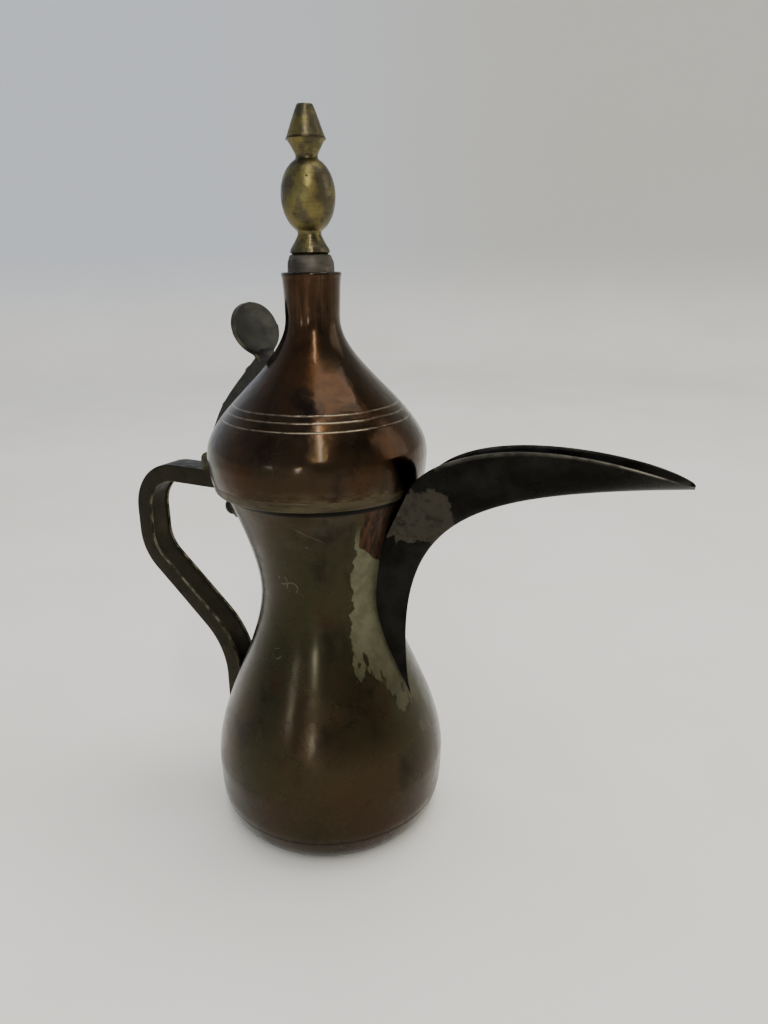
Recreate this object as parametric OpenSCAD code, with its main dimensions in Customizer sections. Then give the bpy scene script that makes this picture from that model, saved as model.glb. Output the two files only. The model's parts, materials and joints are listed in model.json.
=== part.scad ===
// Dallah coffee pot with a hinged onion-dome lid.
// Origin: centre of the base, on the body's own axis. The spout points to +X, the handle to -X.
// Heights are above the base and radii are from the body's axis, in millimetres.

/* [Body] */
// Radius of the flat base where its rounded edge begins
base_r = 34; // [29:0.5:42]
// Largest radius of the belly
belly_r = 51.3; // [45:0.1:62]
// Height of the belly's widest ring
belly_h = 30; // [24:1:38]
// Radius of the waist
waist_r = 28.1; // [23:0.1:33]
// Height of the waist
waist_h = 111; // [92:1:134]
// Outer radius of the mouth
mouth_r = 40.5; // [34:0.1:46]
// Height of the neck, from the waist to the mouth
neck_h = 45; // [36:1:54]
// Thickness of the body's copper sheet
body_wall = 1.2; // [0.9:0.1:2]
// Height of the brazed seam between the base pan and the body
seam_h = 14; // [10:0.5:20]
// Height of the reinforcing ring inside the mouth
ring_h = 5; // [3:0.5:8]
// Thickness of that ring
ring_t = 1.3; // [1:0.1:2]

/* [Lid] */
// Gap between the mouth and the closed lid
lid_gap = 0.5; // [0.3:0.1:1]
// How far the lid's lower rim stands out past the mouth
lid_overhang = 2.7; // [2.2:0.1:4]
// How far the lid's bulge stands out past its rim
bulge_out = 2; // [1.5:0.1:4]
// Height of the widest ring above the lid's rim
bulge_up = 14; // [10:0.5:19]
// Height of the dome from its widest ring to the foot of the lid's neck
dome_h = 53; // [43:1:64]
// Radius of the lid's neck at its narrowest
lid_neck_r = 10.8; // [8:0.1:14]
// Length of the lid's neck
lid_neck_h = 17.5; // [11:0.5:24]
// Flare of the lid's neck at its top
lid_neck_flare = 0.9; // [0:0.1:2]
// Distance of the lid's axis from the body's axis, towards the handle
lid_shift = 1.4; // [0:0.1:2]
// Thickness of the lid's copper sheet
lid_wall = 1.2; // [0.9:0.1:2]
// Height of the brass band on the lid's lower edge
band_h = 4; // [3:0.5:6]
// Thickness of the brass band
band_t = 2; // [1.6:0.1:3]
// Depth of the locating collar below the lid's rim
collar_drop = 5.8; // [4:0.1:8]
// Radial clearance between the collar and the mouth's ring
collar_gap = 2.4; // [2:0.1:4]
// Thickness of the collar
collar_t = 1; // [0.8:0.1:2]

/* [Finial] */
// Height of the ferrule under the finial
ferrule_h = 6.5; // [4:0.5:10]
// Radius of the ferrule
ferrule_r = 9.1; // [7.5:0.1:10.5]
// Radius of the finial's lower flange
flange_r = 7.8; // [6:0.1:9]
// Radius of the finial's egg
egg_r = 10.4; // [7:0.1:13]
// Height of the egg
egg_h = 25.6; // [19:0.1:32]
// Radius of the ridge under the finial's point
ridge_r = 7.5; // [6:0.1:10]
// Radius of the narrow turnings
stem_r = 4.1; // [3.4:0.1:5]
// Height of the point above its ridge
point_h = 11.2; // [8:0.1:16]
// Radius of the tang that goes down through the ferrule
tang_r = 2.5; // [2:0.1:3]

/* [Spout] */
// Distance from the axis to the tip of the beak
spout_reach = 145.7; // [115:1:175]
// Height of the tip above the mouth
spout_rise = 15.6; // [5:0.5:25]
// Half of the channel's width at its root
spout_root_w = 9.5; // [7.5:0.1:11]
// Half of the channel's width along the beak
spout_beak_w = 6.6; // [5:0.1:8]
// Thickness of the spout's sheet
spout_wall = 1.3; // [1.1:0.1:2]
// Height on the belly where the keel starts
spout_foot_h = 64; // [54:1:74]
// Radius of the pour holes in the neck's wall
pour_hole_r = 1.4; // [1:0.1:1.7]

/* [Handle] */
// Width of the handle
handle_w = 13; // [10:0.5:17]
// Depth of the handle, from its outer to its inner face
handle_t = 8; // [6:0.5:10]
// Distance from the axis to the middle of the handle's bow
handle_reach = 97.5; // [84:0.5:112]
// Bend radius of the bow
bow_r = 20; // [15:0.5:24]
// Length of the bow's short upright stretch
bow_drop = 11; // [6:0.5:18]
// Height of the handle's lower end
handle_foot_h = 44; // [38:0.5:50]
// Bend radius above the lower end
foot_bend_r = 36; // [28:1:44]
// Thickness of the handle's sheet
handle_sheet = 1.5; // [1.2:0.1:2.2]
// Depth of the top bar's upper face below the hinge axis
bar_below_axis = 4.7; // [4.5:0.1:6]

/* [Saddle and rivets] */
// Height of the saddle strap around the neck
saddle_h = 11; // [9:0.5:14]
// Half of the saddle strap's span around the neck, in degrees
saddle_half_angle = 37; // [32:1:45]
// Thickness of the saddle strap and of the foot plate
saddle_t = 1.8; // [1.4:0.1:2.5]
// Distance from the lower edge of the lid's collar down to the middle of the saddle
saddle_below = 3.7; // [3.6:0.1:6]
// Radius of the rivet shanks
rivet_r = 1.5; // [1:0.1:2]
// Radius of the rivet heads
rivet_head_r = 3.4; // [2.6:0.1:4]
// Height of the rivet heads
rivet_head_h = 2.6; // [1.5:0.1:3]

/* [Hinge and lever] */
// Distance from the lid's bulge out to the hinge's axis
hinge_out = 8.4; // [8:0.1:11]
// Height of the hinge axis above the mouth
hinge_up = 5.5; // [4.5:0.1:8]
// Radius of the hinge pin
pin_r = 1.4; // [1:0.1:1.6]
// Radial running clearance in the knuckle
pin_clearance = 0.06; // [0.02:0.01:0.09]
// Outer radius of the knuckle
knuckle_r = 3.4; // [2.8:0.1:3.6]
// Width of the knuckle and of the lever arm
arm_w = 9; // [7:0.5:10]
// Thickness of each hinge ear
ear_t = 2.2; // [1.6:0.1:3]
// Gap on each side of the knuckle
ear_gap = 0.4; // [0.3:0.05:0.6]
// Thickness of the lever arm, square to the lid
arm_t = 5.8; // [4.5:0.1:8]
// Half of the thumb paddle's width
paddle_half_w = 12; // [9:0.5:15]
// Half of the thumb paddle's length
paddle_half_l = 10.8; // [8:0.1:13]
// Thickness of the thumb paddle
paddle_t = 2.6; // [2:0.1:4]
// Lean of the paddle away from the lid, in degrees
paddle_lean = 19; // [8:1:30]
// Twist of the paddle about its stem, in degrees
paddle_twist = 8; // [0:1:20]

/* [Hidden] */

$fn = 96;
over = 1;
mouth_h = waist_h + neck_h;
lid_h = mouth_h + lid_gap;
lid_rim_r = mouth_r + lid_overhang;
bulge_r = lid_rim_r + bulge_out;
bulge_h = lid_h + bulge_up;
dome_top_h = bulge_h + dome_h;
neck_top_h = dome_top_h + lid_neck_h;
neck_top_r = lid_neck_r + lid_neck_flare;
ferrule_top_h = neck_top_h + ferrule_h;
hinge_h = mouth_h + hinge_up;
collar_low_h = lid_h - collar_drop;
hinge_x = bulge_r + lid_shift + hinge_out;
bar_top_h = hinge_h - bar_below_axis;

function ease(a, b, t) = a + (b - a) * t * t * (3 - 2 * t);

// Outer radius of the body at height h: a rounded foot, an S curve up to the waist, a flared neck.
neck_flare_power = 1.6;
foot_power = 2.8;
function body_r(h) =
    h <= belly_h
        ? base_r + (belly_r - base_r) * pow(1 - pow(1 - h / belly_h, foot_power), 1 / foot_power)
    : h <= waist_h ? ease(belly_r, waist_r, (h - belly_h) / (waist_h - belly_h))
    : waist_r + (mouth_r - waist_r) * pow((h - waist_h) / neck_h, neck_flare_power);

// Outer radius of the lid about its own axis: a bulging rim, an S curve up to a flared neck.
function lid_r(h) =
    h <= bulge_h ? bulge_r - (bulge_r - lid_rim_r) * pow((bulge_h - h) / bulge_up, 2)
    : h <= dome_top_h ? ease(bulge_r, lid_neck_r, (h - bulge_h) / dome_h)
    : lid_neck_r + lid_neck_flare * pow((h - dome_top_h) / lid_neck_h, 2);

function steps(a, b, n) = [for (i = [0:n]) a + (b - a) * i / n];

function body_line(hs, out = 0) = [for (h = hs) [body_r(h) + out, h]];
function lid_line(hs, out = 0) = [for (h = hs) [lid_r(h) + out, h]];

foot_steps = [for (a = [0, 5, 12, 20, 30, 40, 50, 60, 75, 90])
    belly_h * (1 - pow(cos(a), 2 / foot_power))];
body_steps = concat(foot_steps, steps(belly_h + 5, waist_h, 15), steps(waist_h + 5, mouth_h, 9));
lid_steps = concat(steps(lid_h, bulge_h, 5), steps(bulge_h + 4, dome_top_h, 15),
                   steps(dome_top_h + 3, neck_top_h, 3));

function between(hs, a, b) = concat([a], [for (h = hs) if (h > a + 0.2 && h < b - 0.2) h], [b]);
function reversed(v) = [for (i = [len(v) - 1:-1:0]) v[i]];

// A turned sheet between two heights: its outer line, and the same line moved in by the wall.
module body_sheet(a, b, out, wall) {
    hs = between(body_steps, a, b);
    rotate_extrude() polygon(concat(body_line(hs, out), reversed(body_line(hs, out - wall))));
}

module lid_sheet(a, b, wall) {
    hs = between(lid_steps, a, b);
    rotate_extrude() polygon(concat(lid_line(hs), reversed(lid_line(hs, -wall))));
}

// The solid body, larger by out all round, which trims whatever is fitted against it.
module body_solid(out = 0) {
    rotate_extrude()
        polygon(concat([[0, 0]], body_line(body_steps, out), [[0, mouth_h]]));
}

// Places its children on the lid's axis.
module on_lid() {
    translate([-lid_shift, 0, 0]) children();
}

// The solid lid about its own axis, larger by out all round.
module lid_solid(out = 0) {
    rotate_extrude()
        polygon(concat([[0, lid_h - out]], [[lid_r(lid_h) + out, lid_h - out]],
                       lid_line(lid_steps, out), [[0, neck_top_h]]));
}

// ---- body ----

// Slope of the neck's wall at height h, in degrees from upright
function wall_tilt(h) = atan((body_r(h + 1) - body_r(h - 1)) / 2);

// Places its children on the body's surface, with +Z along the surface's outward normal.
module on_body(h, angle, out = 0) {
    rotate([0, 0, 180 + angle])
        translate([body_r(h), 0, h])
            rotate([0, 90 + wall_tilt(h), 0])
                translate([0, 0, out]) children();
}

rivet_gap = 0.05;
rivet_tail = body_wall + 1.6;
saddle_mid_h = collar_low_h - saddle_below;
saddle_rivet_angle = saddle_half_angle - 9;
foot_plate_h = 12;
foot_plate_mid_h = handle_foot_h - 8;
foot_rivet_side = 8;
foot_rivet_angle = asin(foot_rivet_side / body_r(foot_plate_mid_h));

module saddle_holes(r) {
    for (side = [-1, 1])
        on_body(saddle_mid_h, side * saddle_rivet_angle, -rivet_tail)
            cylinder(r = r, h = rivet_tail + saddle_t + over, $fn = 48);
}

module foot_holes(r) {
    for (side = [-1, 1])
        on_body(foot_plate_mid_h, side * foot_rivet_angle, -rivet_tail)
            cylinder(r = r, h = rivet_tail + saddle_t + over, $fn = 48);
}

pour_rows = 5;
pour_pitch = 4.6;
pour_rise = 6.5;
pour_low_h = waist_h - 4;

// Round holes in two columns that let the coffee through the neck's wall into the spout.
module pour_holes() {
    for (row = [0:pour_rows - 1], side = [-1, 1])
        translate([waist_r / 2, side * pour_pitch / 2, pour_low_h + row * pour_rise])
            rotate([0, 90, 0]) cylinder(r = pour_hole_r, h = mouth_r, $fn = 32);
}

module body_shell() {
    color("#3f382b") difference() {
        body_sheet(seam_h, mouth_h, 0, body_wall);
        pour_holes();
        saddle_holes(rivet_r + rivet_gap);
        foot_holes(rivet_r + rivet_gap);
    }
}

pan_floor = 1.6;

module base_pan() {
    hs = between(body_steps, 0, seam_h);
    hs_in = between(body_steps, pan_floor, seam_h);
    color("#3a2c20") rotate_extrude()
        polygon(concat([[0, 0]], body_line(hs), reversed(body_line(hs_in, -body_wall)),
                       [[0, pan_floor]]));
}

ring_low_r = body_r(mouth_h - ring_h) - body_wall - ring_t;

module rim_ring() {
    hs = between(body_steps, mouth_h - ring_h, mouth_h);
    color("#6a5a38") rotate_extrude()
        polygon(concat([[ring_low_r, mouth_h - ring_h]], body_line(hs, -body_wall),
                       [[ring_low_r, mouth_h]]));
}

// ---- spout ----

function bezier(p, t) =
    pow(1 - t, 3) * p[0] + 3 * pow(1 - t, 2) * t * p[1] + 3 * (1 - t) * t * t * p[2]
    + pow(t, 3) * p[3];

tip_h = mouth_h + spout_rise;
crest_h = mouth_h + 28;
// Keel from the belly up past the waist and out to the tip, as [x, z] control points
keel_curve = [[waist_r + 12, spout_foot_h + 8], [waist_r + 4, mouth_h - 8],
              [mouth_r + 26, mouth_h + 4.5], [spout_reach, tip_h]];
// Upper edge from beside the lid over its crest to the tip, as [x, z] control points
lip_curve = [[mouth_r + 5, mouth_h + 7], [mouth_r + 23.5, crest_h - 0.5],
             [spout_reach - 34, crest_h], [spout_reach + 0.2, tip_h + 1.2]];
fairing_x = waist_r - 3;
fairing_w = 5;
throat_t = 0.33;
tip_w = 0.9;
tip_start = 0.82;

function keel_at(t) = t < 0 ? [body_r(spout_foot_h) - 0.4, spout_foot_h] : bezier(keel_curve, t);
function lip_at(t) =
    t < throat_t ? [fairing_x, keel_at(t)[1]]
    : bezier(lip_curve, (t - throat_t) / (1 - throat_t));
function beak_w(v) =
    v < tip_start ? ease(spout_root_w, spout_beak_w, min(1, v * 1.7))
    : tip_w + (spout_beak_w - tip_w) * sqrt(1 - pow((v - tip_start) / (1 - tip_start), 2));
function half_w(t) =
    t < throat_t ? ease(fairing_w, fairing_w + 1, max(0, t) / throat_t)
    : beak_w((t - throat_t) / (1 - throat_t));

side_steps = 6;
keel_power = 0.7;

// One V-shaped section as a ring of points, from the near lip down to the keel and up again.
// inset moves the section in by the sheet's thickness, and lift raises its open top.
function section(t, inset, lift) =
    let (k0 = keel_at(t), l0 = lip_at(t), d = l0 - k0, u = d / norm(d),
         k = k0 + u * inset * 1.7, l = l0 + u * lift, w = half_w(t) - inset)
    [for (i = [-side_steps:side_steps])
        let (s = abs(i) / side_steps, q = k + (l - k) * s)
        [q[0], (i < 0 ? -1 : 1) * max(w, 0.1) * pow(s, keel_power), q[1]]];

module loft(rings) {
    m = len(rings[0]);
    n = len(rings);
    polyhedron(
        points = [for (ring = rings) each ring],
        faces = concat(
            [[for (j = [0:m - 1]) j]],
            [for (i = [0:n - 2], j = [0:m - 1])
                [i * m + j, (i + 1) * m + j, (i + 1) * m + (j + 1) % m]],
            [for (i = [0:n - 2], j = [0:m - 1])
                [i * m + j, (i + 1) * m + (j + 1) % m, i * m + (j + 1) % m]],
            [[for (j = [m - 1:-1:0]) (n - 1) * m + j]]));
}

spout_steps = concat([-1], steps(0, throat_t - 0.04, 7), steps(throat_t, 0.9, 13), [0.94, 0.97, 1]);
channel_steps = concat([-1], steps(0, throat_t - 0.04, 7), steps(throat_t, 0.9, 13), [0.94, 0.965]);
lip_gap = 0.8;

module spout() {
    color("#26241f") difference() {
        loft([for (t = spout_steps) section(t, 0, 0)]);
        loft([for (t = channel_steps) section(t, spout_wall, 3)]);
        body_solid();
        on_lid() lid_solid(lip_gap);
    }
}

// ---- handle ----

foot_end_h = handle_foot_h - 2;
bar_mid_h = bar_top_h - handle_t / 2;
bow_x = handle_reach - bow_r;
upper_bow_h = bar_mid_h - bow_r;
lower_bow_h = upper_bow_h - bow_drop;
foot_x = body_r(handle_foot_h + 10) + handle_t / 2;

// The straight run leaves the bow once it has turned this far, and meets the foot bend.
bow_turn = 48.3;
run_start = [bow_x + bow_r * cos(bow_turn), lower_bow_h - bow_r * sin(bow_turn)];
run_end_x = foot_x + foot_bend_r * (1 - cos(bow_turn));
run_end_h = run_start[1] - (run_start[0] - run_end_x) * cos(bow_turn) / sin(bow_turn);
foot_bend_h = run_end_h - foot_bend_r * sin(bow_turn);

// Centre line as [distance from the axis, height], moved square to itself by out
// (away from the body above, away from the hand's gap below).
function handle_line(out) = concat(
    [[0, bar_mid_h + out]],
    [for (a = [90:-10:0]) [bow_x + (bow_r + out) * cos(a), upper_bow_h + (bow_r + out) * sin(a)]],
    [for (a = [0:-bow_turn / 5:-bow_turn])
        [bow_x + (bow_r + out) * cos(a), lower_bow_h + (bow_r + out) * sin(a)]],
    [for (a = [bow_turn:-bow_turn / 6:0])
        [foot_x + foot_bend_r - (foot_bend_r - out) * cos(a),
         foot_bend_h + (foot_bend_r - out) * sin(a)]],
    [[foot_x + out, foot_end_h]]);

// The handle's outline between two offsets of its centre line, extruded to a width.
module handle_slab(inner, outer, w) {
    rotate([90, 0, 0])
        translate([0, 0, -w / 2])
            linear_extrude(height = w)
                mirror([1, 0])
                    polygon(concat(handle_line(outer), reversed(handle_line(inner))));
}

strip_t = 1.4;
strip_inset = 0.6;
channel_in = -handle_t / 2;
web_in = handle_t / 2 - handle_sheet;

bar_rim_gap = 1.2;
bar_end_r = lid_rim_r + lid_shift + bar_rim_gap;

// Room for the body with its saddle, and for the lid's rim above the mouth.
module handle_trim() {
    body_solid(saddle_t);
    translate([0, 0, mouth_h - over]) cylinder(r = bar_end_r, h = handle_t + over);
}

module handle_channel() {
    color("#3b3a2d") difference() {
        handle_slab(channel_in, handle_t / 2, handle_w);
        handle_slab(channel_in - over, web_in, handle_w - 2 * handle_sheet);
        handle_trim();
    }
}

module handle_inner_strip() {
    color("#2a2a28") difference() {
        handle_slab(channel_in + strip_inset, channel_in + strip_inset + strip_t,
                    handle_w - 2 * handle_sheet);
        handle_trim();
    }
}

// A strap that lies on the body between two heights, with rounded ends, cut from a turned sheet.
module body_strap(mid_h, h, half_w) {
    intersection() {
        body_sheet(mid_h - h, min(mid_h + h, mouth_h), saddle_t, saddle_t);
        translate([-belly_r - over, 0, mid_h]) rotate([0, 90, 0])
            union() {
                translate([-h / 2, -half_w + h / 2, 0]) cube([h, 2 * half_w - h, belly_r]);
                for (side = [-1, 1])
                    translate([0, side * (half_w - h / 2), 0])
                        cylinder(r = h / 2, h = belly_r, $fn = 64);
            }
    }
}

module handle_saddle() {
    half_w = body_r(saddle_mid_h) * sin(saddle_half_angle);
    color("#34332a") difference() {
        body_strap(saddle_mid_h, saddle_h, half_w);
        saddle_holes(rivet_r + rivet_gap);
    }
}

foot_plate_half_w = 13;

module handle_foot_plate() {
    color("#34332a") difference() {
        body_strap(foot_plate_mid_h, foot_plate_h, foot_plate_half_w);
        foot_holes(rivet_r + rivet_gap);
    }
}

rivet_lift = 0.25;
rivet_tail_r = rivet_r + 0.9;
rivet_tail_t = 0.85;

// A domed head on a shank that goes through a plate and the sheet, with a small upset tail inside.
module rivet() {
    head_low = saddle_t + rivet_lift;
    tail_top = -body_wall - rivet_lift;
    rotate_extrude($fn = 48)
        polygon(concat(
            [[0, tail_top - rivet_tail_t], [rivet_tail_r, tail_top - rivet_tail_t],
             [rivet_tail_r, tail_top], [rivet_r, tail_top], [rivet_r, head_low],
             [rivet_head_r, head_low]],
            [for (a = [15:15:75]) [rivet_head_r * cos(a), head_low + rivet_head_h * sin(a)]],
            [[0, head_low + rivet_head_h]]));
}

module saddle_rivets() {
    color("#3c382c")
        for (side = [-1, 1])
            on_body(saddle_mid_h, side * saddle_rivet_angle) rivet();
}

module foot_rivets() {
    color("#3c382c")
        for (side = [-1, 1])
            on_body(foot_plate_mid_h, side * foot_rivet_angle) rivet();
}

// ---- hinge ----

ear_in = arm_w / 2 + ear_gap;
ear_out = ear_in + ear_t;
ear_r = knuckle_r + 0.4;
bracket_floor = bar_below_axis - knuckle_r - 0.3;

// Places its children on the hinge axis, with their +Z along +Y.
module on_hinge() {
    translate([-hinge_x, 0, hinge_h]) rotate([-90, 0, 0]) children();
}

module hinge_bracket() {
    color("#33312a") difference() {
        union() {
            for (side = [0, 1])
                mirror([0, side, 0]) {
                    on_hinge() translate([0, 0, ear_in]) cylinder(r = ear_r, h = ear_t);
                    translate([-hinge_x - ear_r, ear_in, bar_top_h])
                        cube([2 * ear_r, ear_t, bar_below_axis]);
                }
            translate([-hinge_x - ear_r, -ear_out, bar_top_h])
                cube([2 * ear_r, 2 * ear_out, bracket_floor]);
        }
        on_hinge() translate([0, 0, -ear_out - over]) cylinder(r = pin_r, h = 2 * (ear_out + over));
    }
}

pin_head_r = pin_r + 0.9;
pin_head_h = 0.9;

module hinge_pin() {
    color("#4a463a") on_hinge() {
        translate([0, 0, -ear_out]) cylinder(r = pin_r, h = 2 * ear_out);
        for (side = [0, 1])
            mirror([0, 0, side]) translate([0, 0, ear_out]) cylinder(r = pin_head_r, h = pin_head_h);
    }
}

// Point on the lid's side towards the hinge, moved out square to the surface, about the lid's axis
function lid_side(h, out) =
    let (slope = (lid_r(h + 1) - lid_r(h - 1)) / 2, n = norm([1, slope]))
    [lid_r(h) + out / n, h - out * slope / n];

arm_low_h = bulge_h + 1;
arm_mid_h = bulge_h + 8;
arm_top_h = dome_top_h - 16;
arm_seat = 0.3;
knuckle_x = hinge_x - lid_shift;

// Side outline of the lever arm, as [distance from the lid's axis, height]
arm_outline = concat(
    [[knuckle_x + knuckle_r * cos(20), hinge_h + knuckle_r * sin(20)]],
    [for (h = steps(arm_mid_h, arm_top_h, 6)) lid_side(h, arm_t)],
    [for (h = steps(arm_top_h, arm_low_h, 8)) lid_side(h, -over)],
    [[knuckle_x - knuckle_r * cos(60), hinge_h - knuckle_r * sin(60)]]);

arm_rivet_hs = [bulge_h + 12, arm_top_h - 10];

// Places its children on the lid's surface under the lever arm, +Z along the outward normal.
module on_lid_side(h) {
    tilt = atan((lid_r(h + 1) - lid_r(h - 1)) / 2);
    translate([-lid_r(h), 0, h]) rotate([0, -90 - tilt, 0]) children();
}

module arm_holes(r) {
    for (h = arm_rivet_hs)
        on_lid_side(h) translate([0, 0, -lid_wall - over])
            cylinder(r = r, h = lid_wall + arm_t + 3 * over, $fn = 48);
}

// Places its children on the hinge axis as seen from the lid's axis.
module on_knuckle() {
    translate([lid_shift, 0, 0]) on_hinge() children();
}

module lid_arm() {
    color("#2e2b24") difference() {
        union() {
            on_knuckle() translate([0, 0, -arm_w / 2]) cylinder(r = knuckle_r, h = arm_w);
            rotate([90, 0, 0]) translate([0, 0, -arm_w / 2]) linear_extrude(height = arm_w)
                mirror([1, 0]) polygon(arm_outline);
        }
        lid_solid();
        on_knuckle() translate([0, 0, -arm_w]) cylinder(r = pin_r + pin_clearance, h = 2 * arm_w);
        arm_holes(rivet_r + rivet_gap);
    }
}

arm_rivet_gap = 0.5;
arm_rivet_head = 0.9;

// Two rivets through the arm and the lid's sheet, with a flat head at each end.
module arm_rivets() {
    head_r = rivet_r + arm_rivet_head;
    low = -lid_wall - arm_rivet_gap;
    high = arm_t + arm_rivet_gap;
    color("#4a3a26")
        for (h = arm_rivet_hs)
            on_lid_side(h) {
                translate([0, 0, low]) cylinder(r = rivet_r, h = high - low, $fn = 48);
                translate([0, 0, low - arm_rivet_head])
                    cylinder(r = head_r, h = arm_rivet_head, $fn = 48);
                translate([0, 0, high]) cylinder(r = head_r, h = arm_rivet_head, $fn = 48);
            }
}

paddle_pivot = lid_side(arm_top_h - 3, arm_t - paddle_t / 2);
paddle_mid = paddle_half_l + 1.3;
stem_half_w = 4.5;
stem_flare = 3.5;
stem_down = 3;

// A leaf-shaped plate that rises from the head of the lever arm, leaning out and slightly twisted.
module thumb_paddle() {
    color("#3a3a36") difference() {
        translate([-paddle_pivot[0], 0, paddle_pivot[1]])
            rotate([0, -paddle_lean, 0]) rotate([0, 0, -paddle_twist])
                rotate([90, 0, 90]) translate([0, 0, -paddle_t / 2])
                    linear_extrude(height = paddle_t) union() {
                        polygon([for (a = [0:10:350])
                            [paddle_half_w * cos(a), paddle_mid + paddle_half_l * sin(a)]]);
                        polygon([[-stem_half_w, -stem_down], [stem_half_w, -stem_down],
                                 [stem_half_w + stem_flare, paddle_mid],
                                 [-stem_half_w - stem_flare, paddle_mid]]);
                    }
        lid_solid(arm_seat);
        lid_arm();
        arm_rivets();
    }
}

// ---- lid ----

neck_cap_t = 1.4;
tang_gap = 0.05;

module lid_shell() {
    color("#4b2c1b") difference() {
        union() {
            lid_sheet(lid_h + band_h, neck_top_h, lid_wall);
            translate([0, 0, neck_top_h - neck_cap_t])
                cylinder(r = neck_top_r - lid_wall / 2, h = neck_cap_t);
        }
        translate([0, 0, neck_top_h - 2 * neck_cap_t])
            cylinder(r = tang_r + tang_gap, h = 4 * neck_cap_t);
        arm_holes(rivet_r + rivet_gap);
    }
}

module lid_rim_band() {
    color("#6e5f3c") lid_sheet(lid_h, lid_h + band_h, band_t);
}

collar_r = ring_low_r - collar_gap;

module lid_collar() {
    plate_r = lid_r(lid_h) - band_t;
    color("#5a4a34") rotate_extrude()
        polygon([[collar_r - collar_t, collar_low_h], [collar_r, collar_low_h],
                 [collar_r, lid_h], [plate_r, lid_h],
                 [plate_r, lid_h + collar_t], [collar_r - collar_t, lid_h + collar_t]]);
}

// ---- finial ----

ferrule_taper = 0.9;
shoulder = 1.5;

module finial_ferrule() {
    top_r = ferrule_r - ferrule_taper;
    color("#57524a") rotate_extrude()
        polygon(concat(
            [[tang_r + tang_gap, neck_top_h], [ferrule_r, neck_top_h],
             [ferrule_r - ferrule_taper / 3, ferrule_top_h - 2 * shoulder]],
            [for (a = [0:22.5:90])
                [top_r - shoulder + shoulder * cos(a), ferrule_top_h - shoulder + shoulder * sin(a)]],
            [[tang_r + tang_gap, ferrule_top_h]]));
}

skirt_h = 8;
skirt_edge = 1.4;
egg_cut = acos(stem_r / egg_r);
egg_low_h = ferrule_top_h + skirt_h;
egg_top_h = egg_low_h + egg_h;
neck_turn_h = 1.2;
under_ridge_h = 6.8;
ridge_h = egg_top_h + under_ridge_h;
ridge_edge = 0.6;
finial_top_h = ridge_h + point_h;
finial_top_r = 3.2;
top_edge = 0.7;
washer_t = 1.2;
washer_top_h = neck_top_h - neck_cap_t;
tang_head_r = tang_r + 0.9;
tang_head_h = 1.3;
tang_head_top_h = washer_top_h - washer_t - 0.2;

// The turned skirt's radius from its edge at s = 0 up to the stem at s = 1
function skirt_r(s) = flange_r + (stem_r - flange_r) * (0.75 * s + 0.25 * (1 - pow(1 - s, 2)));

module finial() {
    egg_mid_h = (egg_low_h + egg_top_h) / 2;
    color("#7a6a3a") rotate_extrude()
        polygon(concat(
            [[0, tang_head_top_h - tang_head_h], [tang_head_r, tang_head_top_h - tang_head_h],
             [tang_head_r, tang_head_top_h], [tang_r, tang_head_top_h], [tang_r, ferrule_top_h],
             [flange_r - 0.6 * skirt_edge, ferrule_top_h], [flange_r, ferrule_top_h + skirt_edge / 2]],
            [for (s = [0.1:0.2:0.9])
                [skirt_r(s), ferrule_top_h + skirt_edge + (skirt_h - skirt_edge) * s]],
            [for (a = [-egg_cut:egg_cut / 8:egg_cut])
                [egg_r * cos(a), egg_mid_h + egg_h / 2 * sin(a) / sin(egg_cut)]],
            [[stem_r, egg_top_h + neck_turn_h], [ridge_r - ridge_edge, ridge_h - ridge_edge],
             [ridge_r, ridge_h], [ridge_r - ridge_edge / 2, ridge_h + ridge_edge],
             [finial_top_r + top_edge / 3, finial_top_h - top_edge],
             [finial_top_r - top_edge / 2, finial_top_h], [0, finial_top_h]]));
}

module finial_washer() {
    color("#6a6050") translate([0, 0, washer_top_h - washer_t])
        difference() {
            cylinder(r = lid_neck_r - lid_wall - 1.5, h = washer_t);
            translate([0, 0, -over]) cylinder(r = tang_r + tang_gap, h = washer_t + 2 * over);
        }
}

body_shell();
base_pan();
rim_ring();
spout();
handle_channel();
handle_inner_strip();
handle_saddle();
saddle_rivets();
handle_foot_plate();
foot_rivets();
hinge_bracket();
hinge_pin();
on_lid() lid_arm();
on_lid() arm_rivets();
on_lid() thumb_paddle();
on_lid() lid_shell();
on_lid() lid_rim_band();
on_lid() lid_collar();
on_lid() finial_ferrule();
on_lid() finial();
on_lid() finial_washer();
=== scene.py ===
import json
import math

import bmesh
import bpy
import numpy as np
from mathutils import Matrix, Vector

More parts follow.
